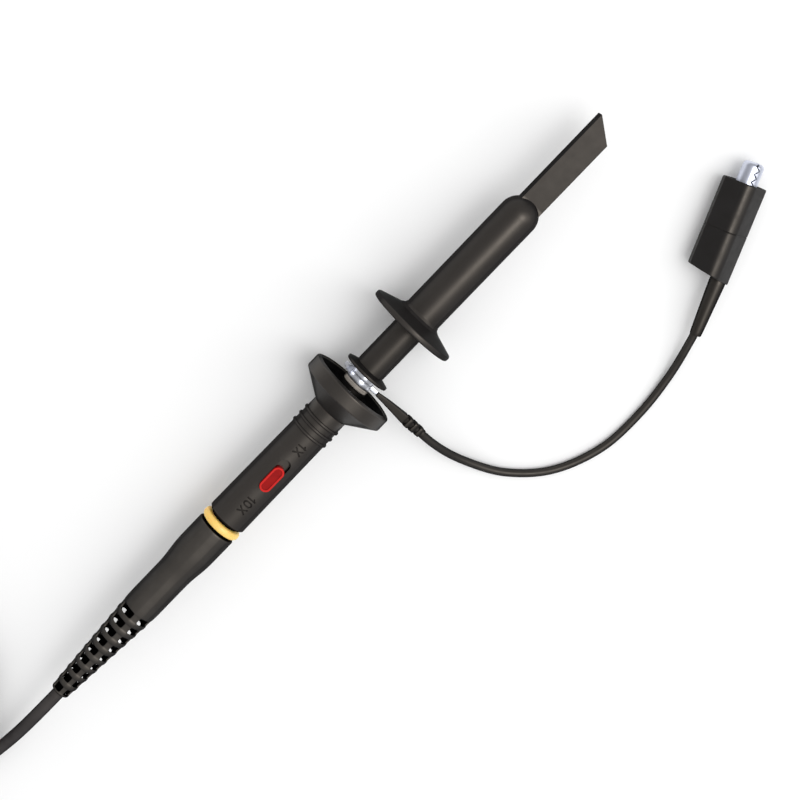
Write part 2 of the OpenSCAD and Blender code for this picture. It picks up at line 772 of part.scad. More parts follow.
// ---------- parts ----------

handle_body();
guard_hub();
barrel_collar();
ground_barrel();
tip_insulator();
tip_needle();
circuit_board();
input_resistor();
input_capacitor();
switch_pads();
switch_knob();
switch_slider();
switch_wiper();
marker_ring();
cable_boot();
crimp_ferrule();
cable_start();
cable_core();
cable_coil();
hook_carrier();
tip_socket();
hook_wire();
hook_spring();
hook_sheath();
ground_ring();
lead_boot();
lead_wire();
clip_tail();
clip_sleeve();
fixed_jaw();
moving_jaw();
jaw_pin();
jaw_spring();
box_base();
box_cover();
box_board();
box_boot();
trimmer_body();
trimmer_screw();
plug_body();
plug_snap_ring();
plug_dielectric();
plug_pin();
bayonet_sleeve();
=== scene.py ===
import json
import math

import bmesh
import bpy
from mathutils import Matrix, Vector


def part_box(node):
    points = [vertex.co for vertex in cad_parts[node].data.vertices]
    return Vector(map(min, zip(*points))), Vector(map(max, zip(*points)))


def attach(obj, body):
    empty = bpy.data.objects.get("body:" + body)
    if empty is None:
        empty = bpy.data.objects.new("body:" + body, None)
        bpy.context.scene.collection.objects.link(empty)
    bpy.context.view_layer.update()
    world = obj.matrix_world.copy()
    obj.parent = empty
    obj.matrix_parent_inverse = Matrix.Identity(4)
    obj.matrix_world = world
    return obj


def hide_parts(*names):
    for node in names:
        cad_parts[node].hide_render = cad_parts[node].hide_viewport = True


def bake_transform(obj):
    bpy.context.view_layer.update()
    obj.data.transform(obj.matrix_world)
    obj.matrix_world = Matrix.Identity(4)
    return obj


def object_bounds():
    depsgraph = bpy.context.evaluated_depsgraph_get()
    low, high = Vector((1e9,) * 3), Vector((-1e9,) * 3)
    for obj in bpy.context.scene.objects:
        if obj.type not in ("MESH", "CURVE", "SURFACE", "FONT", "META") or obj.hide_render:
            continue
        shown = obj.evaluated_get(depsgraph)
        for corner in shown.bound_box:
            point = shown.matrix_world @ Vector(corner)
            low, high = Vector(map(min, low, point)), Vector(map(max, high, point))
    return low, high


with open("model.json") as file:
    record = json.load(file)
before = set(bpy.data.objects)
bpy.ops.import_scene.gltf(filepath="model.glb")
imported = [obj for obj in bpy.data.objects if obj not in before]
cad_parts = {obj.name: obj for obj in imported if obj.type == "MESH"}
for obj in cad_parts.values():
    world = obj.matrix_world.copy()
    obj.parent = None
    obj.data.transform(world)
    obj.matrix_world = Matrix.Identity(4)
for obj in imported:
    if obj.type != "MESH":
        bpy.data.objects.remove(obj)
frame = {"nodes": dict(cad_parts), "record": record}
cad_bounds = [list(v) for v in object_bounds()]
MM = 0.001
BENCH_Z = cad_bounds[0][2]


# ---------------------------------------------------------------- material tools

class Nodes:
    """A material under construction: short calls that add and link its nodes."""

    def __init__(self, name):
        self.mat = bpy.data.materials.new(name)
        self.mat.use_nodes = True
        self.tree = self.mat.node_tree
        self.bsdf = self.tree.nodes["Principled BSDF"]
        self.coord = self.tree.nodes.new("ShaderNodeTexCoord").outputs["Object"]

    def node(self, kind, inputs=None, **settings):
        n = self.tree.nodes.new(kind)
        for key, value in settings.items():
            setattr(n, key, value)
        for key, value in (inputs or {}).items():
            if isinstance(value, bpy.types.NodeSocket):
                self.tree.links.new(value, n.inputs[key])
            else:
                n.inputs[key].default_value = value
        return n

    def noise(self, scale, detail=4.0, rough=0.55, stretch=None):
        v = self.coord
        if stretch:
            v = self.node("ShaderNodeMapping", {"Vector": v, "Scale": stretch}).outputs[0]
        inputs = {"Vector": v, "Scale": scale, "Detail": detail, "Roughness": rough}
        return self.node("ShaderNodeTexNoise", inputs).outputs["Fac"]

    def pits(self, scale):
        inputs = {"Vector": self.coord, "Scale": scale}
        return self.node("ShaderNodeTexVoronoi", inputs).outputs["Distance"]

    def remap(self, value, lo, hi, to_lo=0.0, to_hi=1.0):
        inputs = {"Value": value, "From Min": lo, "From Max": hi, "To Min": to_lo, "To Max": to_hi}
        return self.node("ShaderNodeMapRange", inputs).outputs["Result"]

    def math(self, op, a, b=0.0):
        return self.node("ShaderNodeMath", {0: a, 1: b}, operation=op).outputs[0]

    def mix(self, fac, a, b):
        n = self.node("ShaderNodeMix", {"Factor": fac}, data_type="RGBA")
        for socket, value in ((n.inputs[6], a), (n.inputs[7], b)):
            if isinstance(value, bpy.types.NodeSocket):
                self.tree.links.new(value, socket)
            else:
                socket.default_value = (*value, 1.0)
        return n.outputs[2]

    def axis(self, index):
        return self.node("ShaderNodeSeparateXYZ", {0: self.coord}).outputs[index]

    def axis_distance(self):
        """Distance from the probe's axis, which is the row frame's X axis."""
        y, z = self.axis(1), self.axis(2)
        return self.math("SQRT", self.math("ADD", self.math("MULTIPLY", y, y),
                                           self.math("MULTIPLY", z, z)))

    def open_air(self, distance, samples, only_local=False):
        """1 in the open, toward 0 where other surfaces are nearer than the distance."""
        return self.node("ShaderNodeAmbientOcclusion", {"Distance": distance},
                         samples=samples, only_local=only_local).outputs["AO"]

    def soft_edges(self, radius):
        return self.node("ShaderNodeBevel", {"Radius": radius}, samples=6).outputs[0]

    def bump(self, height, strength, distance, normal=None):
        inputs = {"Height": height, "Strength": strength, "Distance": distance}
        if normal is not None:
            inputs["Normal"] = normal
        return self.node("ShaderNodeBump", inputs).outputs[0]

    def set(self, **inputs):
        for key, value in inputs.items():
            socket = self.bsdf.inputs[key.replace("_", " ")]
            if isinstance(value, bpy.types.NodeSocket):
                self.tree.links.new(value, socket)
            elif isinstance(value, tuple):
                socket.default_value = (*value, 1.0) if len(value) == 3 else value
            else:
                socket.default_value = value
        return self.mat


WARM_BLACK = (0.0205, 0.0188, 0.0185)
WARM_LIGHT = (1.0, 0.89, 0.77)   # what black plastics reflect
CREASE_AND_OUTLINE_SHADE = (0.0015, 0.0013, 0.0012)   # painted shade in creases and toward outlines
SHADE_ON_PLASTIC = (0.0025, 0.0025, 0.0028)  # painted shade for masked places on plastic
# painted shadow for masked places on rubber
SHADE_ON_RUBBER = (0.001, 0.001, 0.001)
# painted shade in metal joints
JOINT_SHADE = (0.01, 0.01, 0.012)
CREASE = 0.35 * MM
BUMP_DEPTH = 0.02 * MM
ROUND_FADE = (0.12, 0.45)        # facing values over which a round bar loses its gloss
EDGE_GLOSS = 0.02                # gloss left at the outline
MASKED_GLOSS = 0.03
BEAK_GLOSS = 0.36


def shade(color, k):
    return tuple(min(1.0, c * k) for c in color)


def with_painted_shade(n, tone, spec, fade):
    """Painted shade: darkens a tone in creases and toward its outline; takes the gloss away there."""
    facing = n.node("ShaderNodeLayerWeight", {"Blend": 0.5}).outputs["Facing"]
    crease = n.remap(n.open_air(CREASE, 6, only_local=True), 0.25, 0.9, 0.12, 1.0)
    outline = n.remap(facing, 0.52, 0.82, 1.0, 0.12)
    # painted shade: occlusion in creases and darkening toward the outline
    tone = n.mix(n.math("MULTIPLY", crease, outline), CREASE_AND_OUTLINE_SHADE, tone)
    return tone, n.remap(facing, *fade, spec, spec * EDGE_GLOSS)


def masked(n, tone, gloss, masks, black):
    """Paints shade into the masked places: blackens them and takes their gloss away."""
    for mask in masks:
        tone = n.mix(mask(n), tone, black)
        gloss = n.math("MULTIPLY", gloss, n.remap(mask(n), 0, 1, 1, MASKED_GLOSS))
    return tone, gloss


def plastic(name, color, rough=0.42, grain=0.25, spec=0.5, wear=0.25, masks=(), dull=None,
            fade=None):
    """Moulded plastic: spark-eroded grain, cloudy colour, edges rubbed slightly brighter."""
    n = Nodes(name)
    grains_per_metre = 1000 / 0.22
    cloud = n.noise(110, 3)
    fine = n.noise(grains_per_metre * 0.5, 2)
    pits = n.pits(grains_per_metre)
    tone = n.mix(n.remap(cloud, 0.3, 0.7), shade(color, 0.92), shade(color, 1.08))
    tone = n.mix(n.remap(fine, 0.62, 0.8, 0, 0.35), tone, shade(color, 1.5))
    point = n.node("ShaderNodeNewGeometry").outputs["Pointiness"]
    worn = n.math("MULTIPLY", n.remap(point, 0.53, 0.62, 0, wear),
                  n.remap(n.noise(320), 0.35, 0.65))
    tone = n.mix(worn, tone, shade(color, 2.2))
    roughness = n.math("ADD", n.remap(n.noise(420), 0.3, 0.7, rough - 0.02, rough + 0.03),
                       n.remap(cloud, 0.3, 0.7, -0.01, 0.01))
    height = n.math("ADD", n.math("MULTIPLY", pits, 0.6), fine)
    normal = n.bump(height, grain, BUMP_DEPTH, n.soft_edges(0.12 * MM))
    # painted shade in creases and toward the outline
    tone, gloss = with_painted_shade(n, tone, spec, fade(n) if fade else ROUND_FADE)
    # painted shade in the masked places
    tone, gloss = masked(n, tone, gloss, masks, SHADE_ON_PLASTIC)
    if dull:
        gloss = n.math("MULTIPLY", gloss, n.remap(dull(n), 0, 1, 1, BEAK_GLOSS))
    return n.set(Base_Color=tone, Roughness=roughness, Normal=normal, IOR=1.5,
                 Specular_IOR_Level=gloss, Specular_Tint=WARM_LIGHT)


def rubber(name, color, rough=0.55, grain=0.2, spec=0.45, masks=(), fade=ROUND_FADE):
    """Soft PVC or rubber: a dull sheen, a fine mottle, and dust-light high spots."""
    n = Nodes(name)
    cloud = n.noise(160, 4)
    fine = n.noise(2600, 2)
    tone = n.mix(n.remap(cloud, 0.32, 0.68), shade(color, 0.8), shade(color, 1.2))
    tone = n.mix(n.remap(n.noise(900, 5, 0.7), 0.66, 0.8, 0, 0.3), tone, shade(color, 2.0))
    normal = n.bump(fine, grain, BUMP_DEPTH, n.soft_edges(0.15 * MM))
    roughness = n.remap(n.noise(500), 0.3, 0.7, rough - 0.06, rough + 0.07)
    # painted shade in creases and toward the outline
    tone, gloss = with_painted_shade(n, tone, spec, fade)
    # painted shadow in the masked places
    tone, gloss = masked(n, tone, gloss, masks, SHADE_ON_RUBBER)
    return n.set(Base_Color=tone, Roughness=roughness, Normal=normal,
                 Specular_IOR_Level=gloss, Specular_Tint=WARM_LIGHT)


def metal(name, color, rough=0.2, brushed=(1, 1, 1), strength=0.12, crease=0.0):
    """Plated or drawn metal: fine directional scratches, cloudy gloss, painted shade in joints."""
    n = Nodes(name)
    lines = n.noise(2400, 3, 0.6, stretch=brushed)
    cloud = n.noise(260, 4)
    tone = n.mix(n.remap(cloud, 0.35, 0.7), color, shade(color, 0.9))
    if crease:
        # painted shade: occlusion darkens joints and gaps between parts
        tone = n.mix(n.remap(n.open_air(crease, 16), 0.3, 0.75), JOINT_SHADE, tone)
    roughness = n.math("ADD", n.remap(lines, 0.3, 0.7, rough - 0.05, rough + 0.08),
                       n.remap(cloud, 0.3, 0.7, -0.03, 0.05))
    normal = n.bump(lines, strength, 0.008 * MM, n.soft_edges(0.08 * MM))
    return n.set(Base_Color=tone, Metallic=1.0, Roughness=roughness, Normal=normal)


# ---------------------------------------------------------------- masks

def in_dish(n):
    """Painted shade on the guard's dished front: everything inside its rim and ahead of its floor."""
    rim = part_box("handle_body")[1].y - 1.25 * MM
    floor = -3.1 * MM
    inside = n.remap(n.axis_distance(), rim, rim + 0.1 * MM, 1, 0)
    return n.math("MULTIPLY", inside, n.remap(n.axis(0), floor, floor + 0.1 * MM))


def in_marks(n):
    """Engraved floors and slot walls lie inside the handle's tapered surface, and get painted shade.
    """
    x = n.axis(0)
    rear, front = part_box("handle_body")[0].x, -7.9 * MM
    surface = n.remap(x, rear, front, 5.1 * MM, 4.8 * MM)
    depth = n.math("SUBTRACT", surface, n.axis_distance())
    behind_guard = n.remap(x, -9.5 * MM, -9.0 * MM, 0.55, 0)
    return n.math("MULTIPLY", n.remap(depth, 0.07 * MM, 0.12 * MM), behind_guard)


def inside_boot(n):
    """Painted shadow on the boot's inner wall and the cable in it; mark_inside notes where that is.
    """
    return n.node("ShaderNodeAttribute", attribute_name="inside").outputs["Fac"]


def on_beak(n):
    """The flat faces ahead of the sheath's dome are duller than its round barrel."""
    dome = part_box("hook_sheath")[1].x - 25.5 * MM
    return n.remap(n.axis(0), dome, dome + 0.4 * MM)


def guard_fade(n):
    """The guard's slopes keep their gloss; the grip loses it early, as a dull round bar does."""
    x = n.axis(0)
    grip, guard = -11 * MM, -9 * MM
    return (n.remap(x, grip, guard, ROUND_FADE[0], 0.42),
            n.remap(x, grip, guard, ROUND_FADE[1], 0.78))


# ---------------------------------------------------------------- materials

def red_knob():
    """Red knob: the moulded rim catches more light than the pressed-in centre."""
    n = Nodes("red_knob")
    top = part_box("switch_knob")[1].z
    rim = n.remap(n.axis(2), top - 0.16 * MM, top - 0.04 * MM)
    fine = n.noise(2600, 2)
    tone = n.mix(n.remap(n.noise(500), 0.3, 0.7), (0.26, 0.003, 0.003), (0.33, 0.005, 0.004))
    tone = n.mix(rim, tone, (0.56, 0.018, 0.015))
    normal = n.bump(fine, 0.3, BUMP_DEPTH, n.soft_edges(0.12 * MM))
    return n.set(Base_Color=tone, Roughness=n.remap(fine, 0.3, 0.7, 0.34, 0.46), Normal=normal,
                 Specular_IOR_Level=0.1)


def yellow_ring():
    """Pale yellow silicone ring, slightly translucent."""
    n = Nodes("yellow_ring")
    cloud = n.noise(300, 3)
    tone = n.mix(n.remap(cloud, 0.3, 0.7), (0.93, 0.58, 0.13), (1.0, 0.68, 0.2))
    normal = n.bump(n.noise(2000, 2), 0.15, BUMP_DEPTH, n.soft_edges(0.15 * MM))
    return n.set(Base_Color=tone, Roughness=n.remap(cloud, 0.3, 0.7, 0.38, 0.5), Normal=normal,
                 Subsurface_Weight=0.15, Subsurface_Scale=0.5 * MM)


def circuit():
    """Green solder mask with copper tracks showing through it."""
    n = Nodes("circuit_board")
    black, white = (0, 0, 0, 1), (1, 1, 1, 1)
    inputs = {"Vector": n.coord, "Scale": 420.0, "Mortar Size": 0.07,
              "Color1": black, "Color2": black, "Mortar": white}
    tracks = n.node("ShaderNodeTexBrick", inputs).outputs["Color"]
    tone = n.mix(tracks, (0.012, 0.11, 0.04), (0.05, 0.24, 0.08))
    roughness = n.remap(n.noise(700), 0.3, 0.7, 0.25, 0.36)
    return n.set(Base_Color=tone, Roughness=roughness, Normal=n.bump(tracks, 0.4, 0.03 * MM))


def resistor():
    """Blue lacquer with colour bands around it and bare wires at its ends."""
    n = Nodes("resistor")
    lo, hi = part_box("input_resistor")
    bands = ((0.27, (0.5, 0.2, 0.05)), (0.37, (0.02, 0.02, 0.02)), (0.47, (0.6, 0.03, 0.02)),
             (0.7, (0.5, 0.35, 0.1)))
    along = n.remap(n.axis(0), lo.x, hi.x)
    tone = n.mix(n.remap(n.noise(600), 0.3, 0.7), (0.1, 0.3, 0.5), (0.14, 0.36, 0.56))
    for place, band in bands:
        away = n.math("ABSOLUTE", n.math("SUBTRACT", along, place))
        tone = n.mix(n.remap(away, 0.022, 0.026, 1, 0), tone, band)
    from_middle = n.math("ABSOLUTE", n.math("SUBTRACT", along, 0.5))
    wire = n.remap(from_middle, 0.352, 0.356)
    tone = n.mix(wire, tone, (0.75, 0.74, 0.72))
    return n.set(Base_Color=tone, Metallic=wire, Roughness=0.28)


JACKET = (0.038, 0.035, 0.036)
FINISH = {
    "handle_plastic": plastic("moulded_shell", WARM_BLACK, 0.44, spec=0.6),
    "black_plastic": plastic("moulded_black", (0.018, 0.0165, 0.016), 0.4),
    "collar_plastic": plastic("moulded_collar", (0.3, 0.27, 0.24)),
    "cable_jacket": rubber("cable_pvc", JACKET, 0.5, 0.16),
    # painted shadow inside the boot
    "boot_rubber": rubber("soft_boot", (0.021, 0.0198, 0.0194), 0.5, spec=0.85,
                          masks=(inside_boot,)),
    "lead_rubber": rubber("lead_boot_pvc", (0.009, 0.0084, 0.0084), 0.46, spec=0.55),
    "lead_jacket": rubber("lead_silicone", (0.018, 0.0172, 0.017), 0.45, 0.12),
    "clip_vinyl": rubber("clip_vinyl", (0.0075, 0.008, 0.0098), 0.42, 0.22, spec=0.38,
                         fade=(0.4, 0.85)),
    # crease: painted shade in the metal's joints
    "nickel": metal("bright_nickel", (0.86, 0.88, 0.95), 0.28, (1, 4, 4), 0.05,
                    crease=0.2 * MM),
    "clip_nickel": metal("pressed_nickel", (0.7, 0.73, 0.84), 0.38, (1, 3, 3),
                         crease=0.5 * MM),
    "spring_steel": metal("drawn_steel", (0.6, 0.61, 0.63), 0.26, (0.3, 1, 1)),
    "gold_contact": metal("gold_flash", (0.9, 0.66, 0.3), 0.22),
    "copper": metal("copper_wire", (0.85, 0.45, 0.3), 0.28),
    "ceramic": plastic("ceramic", (0.74, 0.69, 0.57), 0.3),
    "ptfe": plastic("ptfe", (0.86, 0.86, 0.84), 0.35, 0.1),
    "red_plastic": red_knob(),
    "yellow_ring": yellow_ring(),
    "board": circuit(),
    "resistor": resistor(),
}
OWN_FINISH = {
    # painted shade in the dished front and in the engraved marks
    "handle_body": plastic("moulded_handle", WARM_BLACK, 0.44, spec=0.6,
                           masks=(in_dish, in_marks), fade=guard_fade),
    # painted shade: the hub in the dished front is a darker, glossless copy of the handle's plastic
    "guard_hub": plastic("moulded_hub", (0.004, 0.0038, 0.0038), 0.5, spec=0.12, wear=0.0),
    "hook_sheath": plastic("moulded_sheath", WARM_BLACK, wear=0.0, dull=on_beak),
}
SLOT = {s["node"]: s["material_slot"] for s in frame["record"]["subparts"]}


def paint(obj, material):
    obj.data.materials.clear()
    obj.data.materials.append(material)


for name, obj in frame["nodes"].items():
    paint(obj, OWN_FINISH.get(name, FINISH[SLOT[name]]))


# ---------------------------------------------------------------- mesh tools

def new_piece(name, verts, faces, slot, sharp=None, closed=True):
    """A smooth-shaded mesh object with its material; edges over the sharp angle stay crisp."""
    mesh = bpy.data.meshes.new(name)
    mesh.from_pydata([tuple(v) for v in verts], [], faces)
    if closed:
        bm = bmesh.new()
        bm.from_mesh(mesh)
        bmesh.ops.recalc_face_normals(bm, faces=bm.faces)
        bm.to_mesh(mesh)
        bm.free()
    obj = bpy.data.objects.new(name, mesh)
    bpy.context.scene.collection.objects.link(obj)
    for p in mesh.polygons:
        p.use_smooth = True
    if sharp is not None:
        mesh.set_sharp_from_angle(angle=math.radians(sharp))
    mesh.materials.append(FINISH[slot])
    return obj


def modifier(obj, kind, **settings):
    m = obj.modifiers.new(kind.lower(), kind)
    for key, value in settings.items():
        setattr(m, key, value)


def bake(obj):
    """Replaces the object's mesh by what its modifiers make of it."""
    graph = bpy.context.evaluated_depsgraph_get()
    done = bpy.data.meshes.new_from_object(obj.evaluated_get(graph))
    obj.modifiers.clear()
    obj.data = done


def fix_to(piece, body, node=None):
    """Rides the piece on its body and lets it stand in for the CAD node, if it has one."""
    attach(piece, body)
    if node:
        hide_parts(node)


def skin(rings, closed_ends=True):
    """Vertices and faces of a tube through rings of equal length."""
    n = len(rings[0])
    verts = [v for ring in rings for v in ring]
    faces = []
    for i in range(len(rings) - 1):
        for k in range(n):
            j = (k + 1) % n
            faces.append((i * n + k, i * n + j, (i + 1) * n + j, (i + 1) * n + k))
    if closed_ends:
        faces.append(tuple(range(n))[::-1])
        faces.append(tuple((len(rings) - 1) * n + k for k in range(n)))
    return verts, faces


def lathe(profile, sides=96):
    """A closed skin about the X axis; the profile is (x, radius) in metres."""
    turns = [2 * math.pi * k / sides for k in range(sides)]
    return skin([[Vector((x, r * math.cos(a), r * math.sin(a))) for a in turns]
                 for x, r in profile])


def sweep(path, section, up=Vector((0, 0, 1))):
    """A skin along a path; section(i, u) gives the points of ring i as (side, up) pairs."""
    last = len(path) - 1
    rings = []
    for i, p in enumerate(path):
        tangent = (path[min(i + 1, last)] - path[max(i - 1, 0)]).normalized()
        side = up.cross(tangent).normalized()
        rise = tangent.cross(side)
        rings.append([p + side * a + rise * b for a, b in section(i, i / last)])
    return skin(rings)


def circle(r, n=20):
    turns = [2 * math.pi * k / n for k in range(n)]
    return [(r * math.cos(a), r * math.sin(a)) for a in turns]


def squircle(w, h, power, n=32):
    """A rounded rectangle; the higher the power, the squarer its corners."""
    out = []
    for k in range(n):
        c, s = math.cos(2 * math.pi * k / n), math.sin(2 * math.pi * k / n)
        out.append((w * math.copysign(abs(c) ** (2 / power), c),
                    h * math.copysign(abs(s) ** (2 / power), s)))
    return out


def rounded(corners, radii, steps=5):
    """A polygon with filleted corners."""
    out = []
    for i, radius in enumerate(radii):
        p, before = Vector(corners[i]), Vector(corners[i - 1])
        after = Vector(corners[(i + 1) % len(corners)])
        u, v = (before - p).normalized(), (after - p).normalized()
        half = u.angle(v) / 2
        cut = radius / math.tan(half)
        centre = p + (u + v).normalized() * (radius / math.sin(half))
        start, end = p + u * cut - centre, p + v * cut - centre
        turn = start.angle_signed(end)
        for k in range(steps + 1):
            spoke = start.copy()
            spoke.rotate(Matrix.Rotation(-turn * k / steps, 2))
            out.append(centre + spoke)
    return out


def ease(t):
    t = max(0.0, min(1.0, t))
    return t * t * (3 - 2 * t)


def spline(points, n):
    """Catmull-Rom through the inner points."""
    out = []
    for i in range(1, len(points) - 2):
        p0, p1, p2, p3 = points[i - 1:i + 3]
        for k in range(n):
            t = k / n
            out.append(0.5 * (2 * p1 + (p2 - p0) * t + (2 * p0 - 5 * p1 + 4 * p2 - p3) * t * t
                              + (3 * p1 - p0 - 3 * p2 + p3) * t ** 3))
    return out


# ---------------------------------------------------------------- boot and cable

boot_lo, boot_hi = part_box("cable_boot")
start_lo, start_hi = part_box("cable_start")
CABLE_R = (start_hi.z - start_lo.z) / 2
BOOT_END = boot_lo.x
BOOT_BACK_R, BOOT_SOLID_R, BOOT_FRONT_R = 2.4 * MM, 4.43 * MM, 5.1 * MM
BOOT_TAPER = 30.7 * MM           # length of the tapered part, which holds the windows
SWELL_START, SWELL = 41.5 * MM, 7.5 * MM
WALL = 0.75 * MM
ROWS, PITCH, WINDOW = 9, 3.29 * MM, 1.75 * MM
FIRST_ROW = BOOT_END + 1.6 * MM
RIB = 14                         # half the angle of a lengthwise rib
PER_QUARTER = 8                  # angles in a quarter turn, the first 4 faces being rib


def boot_radius(x):
    solid = BOOT_END + BOOT_TAPER
    if x < solid:
        return BOOT_BACK_R + (BOOT_SOLID_R - BOOT_BACK_R) * (x - BOOT_END) / (solid - BOOT_END)
    return BOOT_SOLID_R + (BOOT_FRONT_R - BOOT_SOLID_R) * ease((x - BOOT_END - SWELL_START) / SWELL)


def mark_inside(piece):
    """Notes at every vertex how deep it lies in the boot, so a bent boot keeps its painted shadow."""
    note = piece.data.attributes.new("inside", "FLOAT", "POINT")
    for vertex, value in zip(piece.data.vertices, note.data):
        x, y, z = vertex.co
        depth = boot_radius(x) - math.hypot(y, z)
        past_end = x - BOOT_END
        value.value = ease((depth - 0.3 * MM) / (0.2 * MM)) * ease((past_end - 0.2 * MM) / (0.3 * MM))


def boot_rows():
    """The boot's rings from rear to front, as (x, radius, windows open ahead of it)."""
    edge, dip = 0.14 * MM, -0.05 * MM
    rows = [(BOOT_END + 0.05 * MM, CABLE_R + 0.1 * MM, False),
            (BOOT_END, BOOT_BACK_R - 0.25 * MM, False),
            (BOOT_END + 0.2 * MM, BOOT_BACK_R + 0.02 * MM, False)]
    for i in range(ROWS):
        c = FIRST_ROW + i * PITCH
        a, b = c - WINDOW / 2, c + WINDOW / 2
        rows += [(a - edge, boot_radius(a) + 0.05 * MM, False), (a, boot_radius(a) + dip, True),
                 (c, boot_radius(c) + dip, True), (b, boot_radius(b) + dip, False),
                 (b + edge, boot_radius(b) + 0.06 * MM, False)]
        if i < ROWS - 1:
            mid = c + PITCH / 2
            rows.append((mid, boot_radius(mid) + 0.16 * MM, False))
    x = rows[-1][0]
    while x < boot_hi.x - 12.5 * MM:
        x += 2.2 * MM
        rows.append((x, boot_radius(x), False))
    front, seat = boot_hi.x - 9.5 * MM, 3.86 * MM
    return rows + [(front - 0.35 * MM, BOOT_FRONT_R, False),
                   (front - 0.06 * MM, BOOT_FRONT_R - 0.06 * MM, False),
                   (front, BOOT_FRONT_R - 0.35 * MM, False), (front, 4.2 * MM, False),
                   (front + 0.05 * MM, 3.9 * MM, False), (front + 0.5 * MM, seat, False),
                   (boot_hi.x - 4 * MM, seat, False)]


def build_boot():
    """The flexible boot: four rows of windows behind, solid in front, ribs on the four sides."""
    rows = boot_rows()
    angles = [math.radians(base + a) for base in (0, 90, 180, 270)
              for a in (-RIB, 3 - RIB, 0, RIB - 3, RIB, 30, 45, 60)]
    n = len(angles)
    verts = [(x, r * math.sin(a), r * math.cos(a)) for x, r, _ in rows for a in angles]
    faces = []
    for i, (_, _, opened) in enumerate(rows[:-1]):
        for k in range(n):
            if opened and k % PER_QUARTER >= 4:
                continue
            j = (k + 1) % n
            faces.append((i * n + k, (i + 1) * n + k, (i + 1) * n + j, i * n + j))
    boot = new_piece("boot_skin", verts, faces, "boot_rubber", closed=False)
    modifier(boot, "SOLIDIFY", thickness=WALL, offset=-1, use_even_offset=True)
    modifier(boot, "SUBSURF", levels=2, render_levels=2)
    bake(boot)
    for p in boot.data.polygons:
        p.use_smooth = True
    mark_inside(boot)
    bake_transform(boot)
    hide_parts("cable_boot")


def build_cable_start():
    """The cable inside the boot."""
    length, steps = start_hi.x - start_lo.x, 90
    path = [Vector((start_lo.x + length * i / steps, 0, 0)) for i in range(steps + 1)]
    verts, faces = sweep(path, lambda i, u: circle(CABLE_R, 32))
    piece = new_piece("cable_start_skin", verts, faces, "cable_jacket", sharp=50)
    # painted shadow on the cable inside the boot
    paint(piece, rubber("cable_in_boot", JACKET, 0.5, 0.16, masks=(inside_boot,)))
    mark_inside(piece)
    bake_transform(piece)
    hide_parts("cable_start")


def coil_path():
    """The lying cable: down to the bench, two turns in, two and a half out, to the box."""
    coil_x, coil_r, pitch, turns_in, turns_out = -147 * MM, 40 * MM, 3.5 * MM, 2, 2.5
    inner_r = coil_r - pitch * turns_in
    low, rise, sway = BENCH_Z + CABLE_R, 3.3 * MM, 0.65 * MM
    turn_steps = 112
    climb, half_climb = turn_steps * 12 / 28, turn_steps * 6 / 28
    box_lo, box_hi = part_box("box_base")
    box_y = (box_lo.y + box_hi.y) / 2
    run_y = coil_r + inner_r + pitch * turns_out
    box_inset = 12.5 * MM

    def spiral(steps, turns, r0, step_r, height):
        for i in range(1, steps + 1):
            t = i / steps
            a, r = math.radians(-90 - 360 * turns * t), r0 + step_r * turns * t
            yield Vector((coil_x + r * math.cos(a), coil_r + r * math.sin(a), low + height(i)))

    path = [Vector((start_lo.x + (coil_x - start_lo.x) * t, -sway * math.sin(math.pi * t) ** 2,
                    low * ease(t))) for t in (i / 40 for i in range(41))]
    n_in, n_out = int(turn_steps * turns_in), int(turn_steps * turns_out)
    path += spiral(n_in, turns_in, coil_r, -pitch,
                   lambda i: rise * ease((i - n_in + half_climb) / climb))
    path += spiral(n_out, turns_out, inner_r, pitch,
                   lambda i: rise * ease((i + half_climb) / climb))
    crossing = low + rise
    for i in range(1, 31):
        t = i / 30
        path.append(Vector((coil_x + (box_lo.x - box_inset - coil_x) * t,
                            run_y + (box_y - run_y) * ease(t),
                            crossing + (box_hi.z - crossing) * ease(t))))
    return path + [Vector((box_lo.x + d * MM, box_y, box_hi.z)) for d in (-11, -8, -4, 0, 4)]


def build_coil():
    """The cable outside the boot."""
    verts, faces = sweep(coil_path(), lambda i, u: circle(CABLE_R))
    piece = new_piece("cable_coil_skin", verts, faces, "cable_jacket", sharp=50)
    fix_to(piece, "cable", "cable_coil")


build_boot()
build_cable_start()
build_coil()


# ---------------------------------------------------------------- ground lead

LEAD_R = 1.03 * MM
CLIP_HEIGHT = 4.5 * MM
CLIP = Vector((95.1 * MM, -38.0 * MM, BENCH_Z + CLIP_HEIGHT))
CLIP_TURN = Matrix.Translation(CLIP) @ Matrix.Rotation(math.radians(24.2), 4, "Z")
JAW_TURN = CLIP_TURN @ Matrix.Rotation(math.radians(12.6), 4, "X")


def build_lead_wire():
    """The ground wire: off its boot, down to the bench, round and up into the clip."""
    z, c = (BENCH_Z + LEAD_R) / MM, CLIP.z / MM
    points = [(2.4, -8, -1.2), (2.2, -15, -2.6), (1.7, -26, -5.6), (3.1, -36, -9.2),
              (7.7, -46.7, z), (16.3, -55.3, z), (28.4, -60.3, z), (41, -61, z),
              (52.6, -59.3, -10), (62.6, -55.9, -8.2), (69.1, -53.1, c - 0.1),
              (76.7, -49.6, c), (84, -46.2, c), (91, -43.1, c)]
    path = spline([Vector(p) * MM for p in points], 16)
    verts, faces = sweep(path, lambda i, u: circle(LEAD_R, 24))
    piece = new_piece("lead_wire_skin", verts, faces, "lead_jacket", sharp=50)
    fix_to(piece, "ground_lead", "lead_wire")


